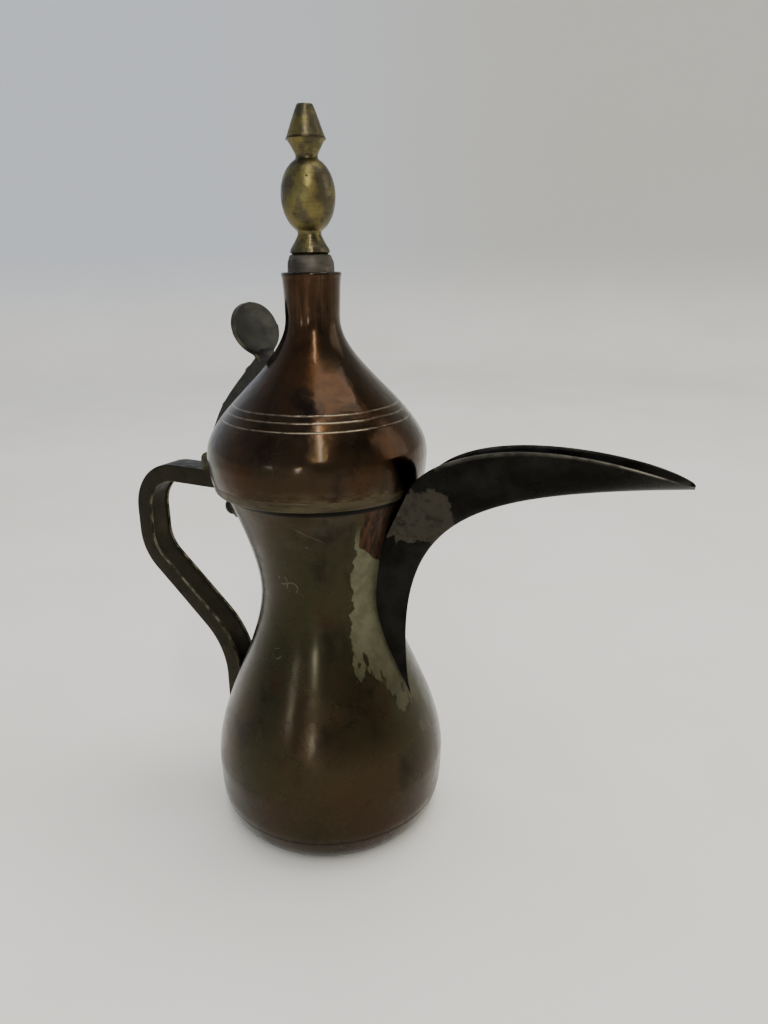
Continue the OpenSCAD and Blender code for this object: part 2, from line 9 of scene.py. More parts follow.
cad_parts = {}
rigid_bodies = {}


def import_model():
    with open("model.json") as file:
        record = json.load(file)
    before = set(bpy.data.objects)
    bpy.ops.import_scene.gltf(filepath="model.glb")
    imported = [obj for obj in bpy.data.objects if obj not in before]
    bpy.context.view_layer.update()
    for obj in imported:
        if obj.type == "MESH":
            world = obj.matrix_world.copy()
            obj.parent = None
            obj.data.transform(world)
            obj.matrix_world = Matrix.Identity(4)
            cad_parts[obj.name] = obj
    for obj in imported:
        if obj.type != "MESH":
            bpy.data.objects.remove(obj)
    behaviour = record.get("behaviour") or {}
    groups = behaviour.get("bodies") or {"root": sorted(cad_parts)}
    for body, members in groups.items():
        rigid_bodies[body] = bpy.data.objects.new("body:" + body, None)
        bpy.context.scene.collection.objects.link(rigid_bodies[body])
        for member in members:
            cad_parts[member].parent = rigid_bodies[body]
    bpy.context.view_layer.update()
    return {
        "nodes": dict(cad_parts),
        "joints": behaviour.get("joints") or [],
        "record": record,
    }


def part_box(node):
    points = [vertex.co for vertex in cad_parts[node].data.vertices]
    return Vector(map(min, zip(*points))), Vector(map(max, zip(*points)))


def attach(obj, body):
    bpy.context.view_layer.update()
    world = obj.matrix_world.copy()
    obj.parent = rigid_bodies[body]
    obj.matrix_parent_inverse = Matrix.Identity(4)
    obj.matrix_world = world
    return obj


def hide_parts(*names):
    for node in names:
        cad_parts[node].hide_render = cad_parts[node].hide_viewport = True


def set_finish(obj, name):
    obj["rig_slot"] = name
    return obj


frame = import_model()

MM = 0.001
POT, LID = "pot", "lid"


# ---- reading the frame ----

def cad_points(node):
    return np.array([v.co[:] for v in frame["nodes"][node].data.vertices])


def off_chord(a, b, c):
    """How far point b stands out from the straight line between a and c."""
    along = (c - a) / np.linalg.norm(c - a)
    return along[1] * (b - a)[0] - along[0] * (b - a)[1]


def rings(*nodes, centre=0, least=40, straight=0.006 * MM, sunk=0.5 * MM):
    """(radius, height) of the outer rings of nodes turned about x = centre, lowest first.

    Rings that lie on a straight stretch are left out, and so are those of an inner wall."""
    p = np.concatenate([cad_points(n) for n in nodes])
    r = np.hypot(p[:, 0] - centre, p[:, 1])
    z = np.round(p[:, 2], 5)
    found = [np.array([r[z == h].max(), h]) for h in np.unique(z) if (z == h).sum() >= least]
    for test in (lambda d: d > -sunk, lambda d: abs(d) > straight):
        kept = [found[0]]
        for b, c in zip(found[1:], found[2:]):
            if test(off_chord(kept[-1], b, c)):
                kept.append(b)
        found = [*kept, found[-1]]
    return np.array(found)


def runs(points, corner):
    """The stretches of a line between its corners, which turn by more than corner degrees."""
    d = np.diff(points, axis=0)
    heading = np.unwrap(np.arctan2(d[:, 1], d[:, 0]))
    sharp = [i + 1 for i in np.where(np.abs(np.diff(heading)) > math.radians(corner))[0]]
    ends = [0, *sharp, len(points) - 1]
    return [points[a:b + 1] for a, b in zip(ends, ends[1:])]


def smooth(points, step, corner=40):
    """A line through the points, curved between its corners, with a point about every step."""
    out = []
    for run in runs(np.asarray(points, float), corner):
        padded = np.vstack([2 * run[0] - run[1], run, 2 * run[-1] - run[-2]])
        for i in range(1, len(padded) - 2):
            a, b, c, d = padded[i - 1:i + 3]
            n = max(1, round(np.linalg.norm(c - b) / step))
            t = (np.arange(n) / n)[:, None]
            out.append(0.5 * (2 * b + (c - a) * t + (2 * a - 5 * b + 4 * c - d) * t * t
                              + (3 * b - a - 3 * c + d) * t ** 3))
        last = run[-1]
    return np.vstack([*out, last[None]])


body_rings = rings("base_pan", "body_shell")
lid_x = (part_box("lid_rim_band")[0].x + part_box("lid_rim_band")[1].x) / 2
lid_rings = rings("lid_rim_band", "lid_shell", centre=lid_x)
body_line = smooth(body_rings, 0.4 * MM, 60)
lid_line = smooth(lid_rings, 0.4 * MM, 60)
mouth_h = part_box("body_shell")[1].z
mouth_r = body_rings[-1][0]
seam_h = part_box("base_pan")[1].z
above_seam = body_rings[body_rings[:, 1] > seam_h]
waist_r, waist_h = above_seam[np.argmin(above_seam[:, 0])]
lid_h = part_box("lid_rim_band")[0].z
band_top_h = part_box("lid_rim_band")[1].z
hinge = Vector(frame["joints"][0]["pos_m"])


def body_r(h):
    return np.interp(h, body_line[:, 1], body_line[:, 0])


def lid_r(h):
    return np.interp(h, lid_line[:, 1], lid_line[:, 0])


def halved(test, low, high, steps):
    """Moves low and high together; test holds at low and fails at high."""
    for _ in range(steps):
        mid = (low + high) / 2
        if test(mid):
            low = mid
        else:
            high = mid
    return low, high


# ---- mesh building ----

def add_mesh(name, verts, faces, body, slot, replaced=(), worn=None):
    """A new piece. worn is how far the metal is rubbed bright at each point, from 0 to 1."""
    mesh = bpy.data.meshes.new(name)
    mesh.from_pydata([tuple(v) for v in verts], [], [tuple(f) for f in faces])
    mesh.update()
    if worn is not None:
        mesh.attributes.new("worn", "FLOAT", "POINT").data.foreach_set("value", worn)
    made = bmesh.new()
    made.from_mesh(mesh)
    bmesh.ops.remove_doubles(made, verts=made.verts, dist=1e-6)
    bmesh.ops.recalc_face_normals(made, faces=made.faces)
    made.to_mesh(mesh)
    made.free()
    piece = bpy.data.objects.new(name, mesh)
    bpy.context.scene.collection.objects.link(piece)
    shade(piece)
    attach(piece, body)
    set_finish(piece, slot)
    if replaced:
        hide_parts(*replaced)
    return piece


def shade(piece, sharp=38):
    piece.data.shade_smooth()
    piece.data.set_sharp_from_angle(angle=math.radians(sharp))


def grid_faces(rows, cols, wrap_rows=False, wrap_cols=False):
    out = []
    for i in range(rows if wrap_rows else rows - 1):
        for j in range(cols if wrap_cols else cols - 1):
            a, b = i * cols + j, i * cols + (j + 1) % cols
            up = ((i + 1) % rows) * cols
            out.append((a, b, up + (j + 1) % cols, up + j))
    return out


def waves(p, size, seed):
    """A smooth field of about -1 to 1 over points p, whose bumps are about size across."""
    count = 9
    rng = np.random.default_rng(seed)
    k = rng.normal(size=(count, 3))
    k *= (rng.uniform(0.6, 1.4, count) * math.pi / size / np.linalg.norm(k, axis=1))[:, None]
    return np.sin(p @ k.T + rng.uniform(0, 2 * math.pi, count)).sum(1) / math.sqrt(count) / 1.6


def turned(name, line, body, slot, replaced=(), centre=0, segments=160, wobble=0, size=20 * MM,
           seed=1, closed=True):
    """A piece turned about x = centre from a line of (radius, height), slightly uneven."""
    angle = np.linspace(0, 2 * math.pi, segments, endpoint=False)
    r = np.asarray(line)[:, 0][:, None]
    z = np.repeat(np.asarray(line)[:, 1][:, None], segments, 1)
    p = np.stack([r * np.cos(angle), r * np.sin(angle), z], -1).reshape(-1, 3)
    if wobble:
        grow = 1 + wobble * waves(p, size, seed) / np.maximum(np.hypot(p[:, 0], p[:, 1]), 2 * MM)
        p[:, :2] *= grow[:, None]
    p[:, 0] += centre
    rows = len(line)
    return add_mesh(name, p, grid_faces(rows, segments, closed, True), body, slot, replaced)


EDGE_STEPS = (0.12, 0.3, 0.5, 0.7, 0.88)


def sheet_line(outer, wall, lip=0.35 * MM):
    """A closed (radius, height) line around a sheet, with its two edges rounded."""
    tangent = np.gradient(outer, axis=0)
    tangent /= np.linalg.norm(tangent, axis=1)[:, None]
    inward = np.stack([-tangent[:, 1], tangent[:, 0]], -1)
    inner = outer + inward * wall

    def cap(a, b, ahead):
        return [a + (b - a) * s + ahead * lip * math.sin(math.pi * s) ** 0.5
                for s in EDGE_STEPS]

    top = cap(outer[-1], inner[-1], tangent[-1])
    low = cap(inner[0], outer[0], -tangent[0])
    return np.vstack([outer[1:-1], top, inner[1:-1][::-1], low])


def bevel(piece, width, segments=3, angle=35):
    m = piece.modifiers.new("bevel", "BEVEL")
    m.width = width
    m.segments = segments
    m.limit_method = "ANGLE"
    m.angle_limit = math.radians(angle)
    m.harden_normals = False


def solidify(piece, thickness, offset):
    """Gives a sheet its thickness, to one side of its mesh (-1) or to both (0)."""
    m = piece.modifiers.new("sheet", "SOLIDIFY")
    m.thickness = thickness
    m.offset = offset
    m.use_even_offset = True
    return m


def rods(name, places, radius, depth, sides):
    """An object of straight rods, one along the Z axis of each place, to cut holes with."""
    made = bmesh.new()
    for place in places:
        bmesh.ops.create_cone(made, cap_ends=True, segments=sides, radius1=radius,
                              radius2=radius, depth=depth, matrix=place)
    mesh = bpy.data.meshes.new(name)
    made.to_mesh(mesh)
    made.free()
    return bpy.data.objects.new(name, mesh)


def cut(piece, cutter):
    """Cuts the cutter's shape out of the piece for good."""
    bpy.context.scene.collection.objects.link(cutter)
    m = piece.modifiers.new("cut", "BOOLEAN")
    m.operation = "DIFFERENCE"
    m.solver = "EXACT"
    m.object = cutter
    bpy.context.view_layer.update()
    done = bpy.data.meshes.new_from_object(
        piece.evaluated_get(bpy.context.evaluated_depsgraph_get()))
    piece.modifiers.clear()
    piece.data = done
    bpy.data.objects.remove(cutter)
    shade(piece)


# ---- body ----

WALL = 1.2 * MM
PAN_FLOOR = 1.6 * MM
POUR_ROWS, POUR_PITCH, POUR_RISE, POUR_R = 5, 4.6 * MM, 6.5 * MM, 1.4 * MM
POUR_BELOW_WAIST = 4 * MM
POUR_REACH = 30 * MM
SEGMENTS = 200
HAND_WOBBLE, HAND_SIZE = 0.16 * MM, 26 * MM


def part_of(line, low, high):
    """The stretch of a line between two heights."""
    inner = line[(line[:, 1] > low + 0.05 * MM) & (line[:, 1] < high - 0.05 * MM)]
    ends = [[np.interp(h, line[:, 1], line[:, 0]), h] for h in (low, high)]
    return np.vstack([ends[0], inner, ends[1]])


def pour_hole_places():
    """Two columns of places in the neck's wall behind the spout, with their Z axis along X."""
    low = waist_h - POUR_BELOW_WAIST
    for row in range(POUR_ROWS):
        for side in (-0.5, 0.5):
            yield (Matrix.Translation((waist_r, side * POUR_PITCH, low + row * POUR_RISE))
                   @ Matrix.Rotation(math.pi / 2, 4, "Y"))


def make_body():
    uneven = {"segments": SEGMENTS, "wobble": HAND_WOBBLE, "size": HAND_SIZE, "seed": 3}
    outer = part_of(body_line, seam_h, mouth_h)
    shell = turned("body_sheet", sheet_line(outer, WALL), POT, "body_copper", ["body_shell"],
                   **uneven)
    cut(shell, rods("pour_hole_cutter", pour_hole_places(), POUR_R, POUR_REACH, 32))
    under = part_of(body_line, 0, seam_h)
    inner = under - np.array([WALL, 0])
    inner = inner[inner[:, 1] > PAN_FLOOR]
    line = np.vstack([[[0, 0], [under[0, 0] * 0.5, 0]], under,
                      inner[::-1], [[inner[0, 0] * 0.5, PAN_FLOOR], [0, PAN_FLOOR]]])
    turned("bottom_pan", line, POT, "body_copper", ["base_pan"], closed=False, **uneven)


# ---- spout ----

# A station runs from -1 at the foot, through 0 and THROAT, where the lip is clear of the
# body, to 1 at the tip.
# The widths are half widths.
SPOUT_WALL = 1.3 * MM
SEAM_SINK = 0.25 * MM
THROAT, THROAT_EASE = 0.33, 0.1
LIP_IN, LIP_RUN = 3 * MM, 0.05
ROOT_W, BEAK_W, TIP_W = 9.5 * MM, 6.6 * MM, 0.9 * MM
FAIRING_W, FAIRING_FLARE = 5 * MM, 1 * MM
TIP_START, TIP_RISE = 0.82, 15.6 * MM
KEEL_POWER = 0.7
FOOT_ROWS, FAIRING_ROWS, BEAK_ROWS, SPOUT_SIDE = 10, 45, 120, 18
spout_foot_h = 64 * MM
tip = Vector((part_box("spout")[1].x - 0.2 * MM, 0, mouth_h + TIP_RISE))
# Control points of two curves, as (distance from the axis, height)
keel_curve = np.array([[waist_r + 12 * MM, spout_foot_h + 8 * MM],
                       [waist_r + 4 * MM, mouth_h - 8 * MM],
                       [mouth_r + 26 * MM, mouth_h + 4.5 * MM], [tip.x, tip.z]])
lip_curve = np.array([[mouth_r + 5 * MM, mouth_h + 7 * MM],
                      [mouth_r + 23.5 * MM, mouth_h + 27.5 * MM],
                      [tip.x - 34 * MM, mouth_h + 28 * MM], [tip.x + 0.2 * MM, tip.z + 1.2 * MM]])


def ease(a, b, t):
    t = min(max(t, 0), 1)
    return a + (b - a) * t * t * (3 - 2 * t)


def bezier(p, t):
    return ((1 - t) ** 3 * p[0] + 3 * (1 - t) ** 2 * t * p[1] + 3 * (1 - t) * t * t * p[2]
            + t ** 3 * p[3])


def keel_at(t):
    """The keel's point in the middle plane; below 0 it runs down onto the belly."""
    if t >= 0:
        return bezier(keel_curve, t)
    start = bezier(keel_curve, 0)
    foot = np.array([body_r(spout_foot_h) - 0.4 * MM, spout_foot_h])
    return start + (foot - start) * -t


def lip_at(t):
    """The upper edge's point; below the throat it is inside the body, at the keel's height."""
    if t < THROAT:
        start = THROAT - LIP_RUN
        inside = np.array([waist_r - LIP_IN, keel_at(min(t, start))[1]])
        return inside + (lip_curve[0] - inside) * max(0, t - start) / LIP_RUN
    return bezier(lip_curve, (t - THROAT) / (1 - THROAT))


def beak_half(v):
    if v < TIP_START:
        return ease(ROOT_W, BEAK_W, v * 1.7)
    return TIP_W + (BEAK_W - TIP_W) * math.sqrt(
        max(0, 1 - ((v - TIP_START) / (1 - TIP_START)) ** 2))


def half_width(t):
    fairing = FAIRING_W + FAIRING_FLARE * min(1, max(0, t) / THROAT)
    if t < THROAT - THROAT_EASE:
        return fairing
    beak = beak_half(max(0, t - THROAT) / (1 - THROAT))
    return ease(fairing, beak, (t - THROAT + THROAT_EASE) / (2 * THROAT_EASE))


def spout_point(t, s, side):
    """A point of the spout's sheet: s runs from 0 on the keel to 1 on the lip."""
    q = keel_at(t) + (lip_at(t) - keel_at(t)) * s
    return np.array([q[0], side * half_width(t) * s ** KEEL_POWER, q[1]])


def outside(p):
    """How far a point is outside the body's surface, or far outside above the mouth."""
    if p[2] > mouth_h:
        return p[0] - mouth_r - 0.6 * MM
    return math.hypot(p[0], p[1]) - body_r(p[2]) + SEAM_SINK


def reach(t):
    """How far up the side the sheet goes before it meets the body."""
    if outside(spout_point(t, 1, 1)) > 0:
        return 1.0
    free, _ = halved(lambda s: outside(spout_point(t, s, 1)) > 0, 0.0, 1.0, 24)
    return max(free, 0.02)


def spout_stations():
    return np.concatenate([np.linspace(-1, 0, FOOT_ROWS, endpoint=False),
                           np.linspace(0, THROAT, FAIRING_ROWS, endpoint=False),
                           THROAT + (1 - THROAT) * np.linspace(0, 1, BEAK_ROWS)])


def make_spout():
    """The folded sheet, with its lip worn along the beak. Gives back the sheet's points."""
    stations = spout_stations()
    p = []
    for t in stations:
        top = reach(t)
        side = [(s * top) for s in np.linspace(0, 1, SPOUT_SIDE + 1) ** 1.15]
        p.append([spout_point(t, s, -1) for s in side[:0:-1]]
                 + [spout_point(t, s, 1) for s in side])
    p = np.array(p)
    rows, cols = p.shape[:2]
    worn = np.zeros((rows, cols))
    worn[stations > THROAT + THROAT_EASE, 0] = 1
    worn[:, -1] = worn[:, 0]
    piece = add_mesh("spout_sheet", p.reshape(-1, 3), grid_faces(rows, cols), POT,
                     "spout_copper", ["spout"], worn=worn.ravel())
    flip_outward(piece, Vector((0, 0, -1)))
    solidify(piece, SPOUT_WALL, -1).thickness_clamp = 1
    bevel(piece, 0.4 * MM, 3, 60)
    return p


BEAD_R, BEAD_UNEVEN, BEAD_SIDES = 0.42 * MM, 0.35, 8


def make_solder(sheet):
    """A thin, uneven bead of solder along each of the spout's seams with the body."""
    rng = np.random.default_rng(21)
    for side, name in ((0, "solder_near"), (-1, "solder_far")):
        seam = [row[side] for row in sheet if abs(outside(row[side])) < 0.2 * MM]
        seam = [q for q in seam if q[2] < mouth_h - 0.8 * MM]
        rough = np.convolve(rng.normal(size=len(seam) + 4), np.ones(5) / 5, "valid")
        size = BEAD_R * (1 + BEAD_UNEVEN * rough)
        verts = []
        for i, q in enumerate(seam):
            along = Vector(seam[min(i + 1, len(seam) - 1)] - seam[max(i - 1, 0)]).normalized()
            out = Vector((q[0], q[1], 0)).normalized()
            over = along.cross(out)
            taper = min(1, 0.3 + min(i, len(seam) - 1 - i) / 4)
            for a in np.linspace(0, 2 * math.pi, BEAD_SIDES, endpoint=False):
                step = out * math.sin(a) * 0.6 + over * math.cos(a)
                verts.append(Vector(q) + step * float(size[i]) * taper)
        n = len(seam)
        faces = grid_faces(n, BEAD_SIDES, False, True)
        faces += [tuple(range(BEAD_SIDES)),
                  tuple(BEAD_SIDES * n - 1 - j for j in range(BEAD_SIDES))]
        add_mesh(name, verts, faces, POT, "tin_solder")


def flip_outward(piece, toward):
    """Turns the normals so that on average they face a direction."""
    total = sum((f.normal * f.area for f in piece.data.polygons), Vector())
    if total.dot(toward) < 0:
        piece.data.flip_normals()


# ---- handle ----

HANDLE_W, HANDLE_T = 13 * MM, 8 * MM
HANDLE_SHEET = 1.5 * MM
STRIP_T, STRIP_INSET = 1.4 * MM, 0.6 * MM
FOOT_CLEAR = 0.05 * MM
BAR_ROWS = 34
LIP_WEAR = 0.9 * MM
BOW_R, BOW_DROP, BOW_TURN = 20 * MM, 11 * MM, math.radians(48.3)
FOOT_R, FOOT_L = 36 * MM, 12 * MM
SADDLE_T, LID_GAP = 1.8 * MM, 1.2 * MM
handle_low, handle_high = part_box("handle_channel")
bar_mid = handle_high.z - HANDLE_T / 2
bow_x = -handle_low.x - HANDLE_T / 2 - BOW_R
foot_end = handle_low.z
foot_x = body_r(foot_end + FOOT_L) + HANDLE_T / 2
bar_end_r = lid_rings[0][0] - lid_x + LID_GAP


def handle_path(step=0.9 * MM):
    """Centre line of the handle from the bow to its foot: points and outward directions.

    Both are (distance from the axis, height)."""
    upper = np.array([bow_x, bar_mid - BOW_R])
    lower = upper - [0, BOW_DROP]
    run_start = lower + BOW_R * np.array([math.cos(BOW_TURN), -math.sin(BOW_TURN)])
    run_end_x = foot_x + FOOT_R * (1 - math.cos(BOW_TURN))
    run_end_h = run_start[1] - (run_start[0] - run_end_x) / math.tan(BOW_TURN)
    bend = np.array([foot_x + FOOT_R, run_end_h - FOOT_R * math.sin(BOW_TURN)])
    out = []

    def arc(centre, radius, a, b):
        for angle in np.linspace(a, b, max(2, round(abs(a - b) * abs(radius) / step)), False):
            d = np.array([math.cos(angle), math.sin(angle)])
            out.append((centre + radius * d, d))

    def line(a, b, d):
        for s in np.linspace(0, 1, max(2, round(np.linalg.norm(b - a) / step)), False):
            out.append((a + (b - a) * s, d))

    arc(upper, BOW_R, math.pi / 2, 0)
    line(upper + [BOW_R, 0], lower + [BOW_R, 0], np.array([1.0, 0]))
    arc(lower, BOW_R, 0, -BOW_TURN)
    run_d = np.array([math.cos(BOW_TURN), -math.sin(BOW_TURN)])
    line(run_start, np.array([run_end_x, run_end_h]), run_d)
    arc(bend, -FOOT_R, -BOW_TURN, 0)
    line(np.array([foot_x, bend[1]]), np.array([foot_x, foot_end]), np.array([1.0, 0]))
    out.append((np.array([foot_x, foot_end]), np.array([1.0, 0])))
    return out


def rounded(corners, radius, steps=4):
    """A closed outline with each corner replaced by a small arc."""
    corners = np.asarray(corners, float)
    out = []
    for a, b, c in zip(np.roll(corners, 1, 0), corners, np.roll(corners, -1, 0)):
        u, v = (a - b) / np.linalg.norm(a - b), (c - b) / np.linalg.norm(c - b)
        for s in np.linspace(0, 1, steps + 1):
            w = (1 - s) ** 2 * u + s ** 2 * v
            out.append(b + radius * w)
    return np.array(out)


def bar_start(n, y):
    """Where the top bar meets the saddle below the mouth, or stops short of the lid above it."""
    h = bar_mid + n
    r = bar_end_r if h > mouth_h - 1 * MM else body_r(h) + SADDLE_T
    return math.sqrt(r * r - y * y)


def off_body(centre, out, n, y):
    """The point n out from the centre line, or further out where that is inside the body."""

    def inside(at):
        q = centre + out * at
        return math.hypot(q[0], y) < body_r(q[1]) + FOOT_CLEAR

    if inside(n):
        _, n = halved(inside, n, HANDLE_T, 20)
    return centre + out * n


def swept(name, section, body, slot, replaced=(), wobble=0.12 * MM):
    """A closed section of (outward, sideways) points carried along the handle's centre line."""
    rows = []
    for i in range(BAR_ROWS):
        s = i / BAR_ROWS
        starts = [bar_start(n, y) for n, y in section]
        rows.append([(-(start + (bow_x - start) * s), y, bar_mid + n)
                     for start, (n, y) in zip(starts, section)])
    for centre, out in handle_path():
        found = [off_body(centre, out, n, y) for n, y in section]
        rows.append([(-q[0], y, q[1]) for q, (n, y) in zip(found, section)])
    p = np.array(rows)
    count, cols = p.shape[:2]
    flat = p.reshape(-1, 3)
    # No unevenness near the body, where the handle meets the saddle and the foot plate.
    away = np.clip((-flat[:, 0] - 60 * MM) / (20 * MM), 0, 1)
    for axis, seed in ((1, 11), (2, 12)):
        flat[:, axis] += wobble * away * waves(flat, 22 * MM, seed)
    faces = grid_faces(count, cols, False, True)
    faces += [tuple(range(cols)), tuple((count - 1) * cols + j for j in reversed(range(cols)))]
    lip = [math.exp(-((n + HANDLE_T / 2) / LIP_WEAR) ** 2) for n, y in section]
    return add_mesh(name, flat, faces, body, slot, replaced, worn=np.tile(lip, count))


def make_handle():
    half_w, half_t = HANDLE_W / 2, HANDLE_T / 2
    web = half_t - HANDLE_SHEET
    inner_w = half_w - HANDLE_SHEET
    channel = rounded([(-half_t, -half_w), (half_t, -half_w), (half_t, half_w), (-half_t, half_w),
                       (-half_t, inner_w), (web, inner_w), (web, -inner_w), (-half_t, -inner_w)],
                      0.5 * MM)
    swept("handle_strap", channel, POT, "handle_metal", ["handle_channel"])
    low = -half_t + STRIP_INSET
    top = low + STRIP_T
    strip = rounded([(low, -inner_w), (top, -inner_w), (top, inner_w), (low, inner_w)], 0.25 * MM)
    swept("handle_lining", strip, POT, "handle_metal", ["handle_inner_strip"])


# ---- lid ----

# Heights of the three turned grooves above the lid's rim
GROOVES = (29.1 * MM, 32.1 * MM, 34.5 * MM)
GROOVE_W, GROOVE_D = 0.28 * MM, 0.25 * MM
ROLL_H, ROLL_OUT, ROLL_EDGE = 2.6 * MM, 0.2 * MM, 0.9 * MM
CAP_T = 1.4 * MM
BAND_T = 2 * MM
TANG_R, TANG_BORE, TANG_HEAD_R, TANG_HEAD_GAP = 2.5 * MM, 2.55 * MM, 3.4 * MM, 0.2 * MM


def make_lid():
    uneven = {"centre": lid_x, "segments": SEGMENTS, "wobble": HAND_WOBBLE, "size": 20 * MM,
              "seed": 7}
    top_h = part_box("lid_shell")[1].z
    fine = smooth(part_of(lid_line, band_top_h, top_h)[::3], 0.22 * MM, 90)
    for up in GROOVES:
        depth = np.clip(1 - np.abs(fine[:, 1] - lid_h - up) / GROOVE_W, 0, 1)
        fine[:, 0] -= GROOVE_D * np.sqrt(depth)
    inner = part_of(lid_line, band_top_h, top_h - CAP_T)[::-4] - [WALL, 0]
    lip_r = fine[-1, 0] + ROLL_OUT
    round_top = [[lip_r - ROLL_EDGE * (1 - math.cos(a)), top_h - ROLL_EDGE * (1 - math.sin(a))]
                 for a in np.linspace(0, math.pi / 2, 6)]
    rolled = np.clip((fine[:, 1] - top_h + ROLL_H) / (ROLL_H - ROLL_EDGE), 0, 1)
    fine[:, 0] += ROLL_OUT * np.sin(rolled * math.pi / 2) ** 2
    line = np.vstack([fine[fine[:, 1] < top_h - ROLL_EDGE], round_top,
                      [[TANG_BORE, top_h], [TANG_BORE, top_h - CAP_T]], inner])
    turned("lid_dome", line, LID, "lid_copper", ["lid_shell"], **uneven)
    band = part_of(lid_line, lid_h, band_top_h)
    turned("lid_band", sheet_line(band, BAND_T, 0.25 * MM), LID, "brass_trim",
           ["lid_rim_band"], **uneven)


# ---- finial ----

# A neck is rounded over FILLET outline points each way, up to FILLET_RISE above its narrowest.
FILLET = 6
FILLET_RISE = 2.2 * MM
ENDS = 5


def filleted(outline):
    """The finial's outline with its two narrow necks rounded."""
    r = outline[:, 0]
    mean = np.convolve(np.pad(r, FILLET, "edge"), np.ones(2 * FILLET + 1) / (2 * FILLET + 1),
                       "valid")
    narrow = r < min(r[ENDS:-ENDS]) + FILLET_RISE
    narrow[:ENDS] = narrow[-ENDS:] = False
    return np.stack([np.where(narrow, np.maximum(r, mean), r), outline[:, 1]], -1)


def make_finial():
    line = smooth(rings("finial_ferrule", centre=lid_x), 0.25 * MM, 35)
    line = np.vstack([line, [[TANG_BORE, line[-1, 1]], [TANG_BORE, line[0, 1]]]])
    turned("tin_ferrule", line, LID, "tin_solder", ["finial_ferrule"], centre=lid_x,
           segments=96, wobble=0.25 * MM, size=5 * MM, seed=9)
    low_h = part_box("finial")[0].z
    base_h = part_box("finial_ferrule")[1].z
    head_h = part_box("finial_washer")[0].z - TANG_HEAD_GAP
    found = rings("finial", centre=lid_x)
    outline = filleted(smooth(found[found[:, 1] > base_h - 0.1 * MM], 0.25 * MM, 42))
    tang = [[0, low_h], [TANG_HEAD_R, low_h], [TANG_HEAD_R, head_h], [TANG_R, head_h],
            [TANG_R, base_h]]
    line = np.vstack([tang, outline, [[0, outline[-1, 1]]]])
    turned("turned_finial", line, LID, "finial_brass", ["finial"], centre=lid_x, segments=96,
           wobble=0.12 * MM, size=7 * MM, seed=5, closed=False)


# ---- lever arm and thumb paddle ----

PADDLE_LEAN, PADDLE_TWIST = math.radians(19), math.radians(8)
PADDLE_HALF_W, PADDLE_HALF_L, PADDLE_MID = 12 * MM, 10.8 * MM, 12.1 * MM
PADDLE_T, PADDLE_DISH = 2.6 * MM, 1.2 * MM
PADDLE_ROWS, PADDLE_COLS = 56, 33
STEM_HALF_W, STEM_FLARE, STEM_DOWN = 4.5 * MM, 3.5 * MM, 2 * MM
ARM_W, ARM_T, ARM_SEAT = 9 * MM, 5.8 * MM, 0.05 * MM
KNUCKLE_R, BORE_R = 3.4 * MM, 1.46 * MM
KNUCKLE_START, KNUCKLE_END = math.radians(28), math.radians(-120)
bulge_h = lid_h + 14 * MM
arm_top_h = bulge_h + 37 * MM


def lid_side(h, out):
    """The point out from the lid's side at a height, as (distance from its axis, height)."""
    slope = (lid_r(h + MM) - lid_r(h - MM)) / (2 * MM)
    n = math.hypot(1, slope)
    return np.array([lid_r(h) + out / n, h - out * slope / n])


def arm_outline():
    """The arm's side view: round the knuckle, up the lid, over the head and down again."""
    knuckle = np.array([-hinge.x + lid_x, hinge.z])
    barrel = [knuckle + KNUCKLE_R * np.array([math.cos(a), math.sin(a)])
              for a in np.linspace(KNUCKLE_START, KNUCKLE_END, 14)]
    inner = [lid_side(h, ARM_SEAT) for h in np.linspace(bulge_h + 1 * MM, arm_top_h, 40)]
    head_r = ARM_T / 2
    middle = lid_side(arm_top_h, head_r)
    foot = inner[-1] - middle
    turn = math.atan2(foot[1], foot[0])
    head = [middle + head_r * np.array([math.cos(turn + a), math.sin(turn + a)])
            for a in np.linspace(0.35, math.pi - 0.35, 7)]
    outer = [lid_side(h, ARM_T) for h in np.linspace(arm_top_h, bulge_h + 8 * MM, 34)]
    run = smooth([outer[-1], (outer[-1] + barrel[0]) / 2 + [0.4 * MM, 0], barrel[0]], 1 * MM)
    return [*barrel, *inner, *head, *outer, *run[1:-1]]


def make_arm():
    """The lever arm: a thick strap that follows the lid from its knuckle on the hinge."""
    line = arm_outline()
    n = len(line)
    verts = [(lid_x - r, y, z) for y in (-ARM_W / 2, ARM_W / 2) for r, z in line]
    faces = [tuple(range(n)), tuple(range(2 * n - 1, n - 1, -1))]
    faces += [(i, (i + 1) % n, n + (i + 1) % n, n + i) for i in range(n)]
    piece = add_mesh("lever_arm", verts, faces, LID, "lever_metal", ["lid_arm"])
    axis = Matrix.Translation(hinge) @ Matrix.Rotation(math.pi / 2, 4, "X")
    cut(piece, rods("pin_bore", [axis], BORE_R, ARM_W * 2, 48))
    bevel(piece, 0.7 * MM, 3, 40)


def paddle_half(u):
    """Half of the paddle's width at a height along it: a stem that opens into an oval leaf."""
    across = 1 - ((u - PADDLE_MID) / PADDLE_HALF_L) ** 2
    leaf = PADDLE_HALF_W * math.sqrt(max(0, across))
    stem = STEM_HALF_W + STEM_FLARE * max(0, u) / PADDLE_MID if u < PADDLE_MID else 0
    return (leaf ** 5 + stem ** 5) ** 0.2


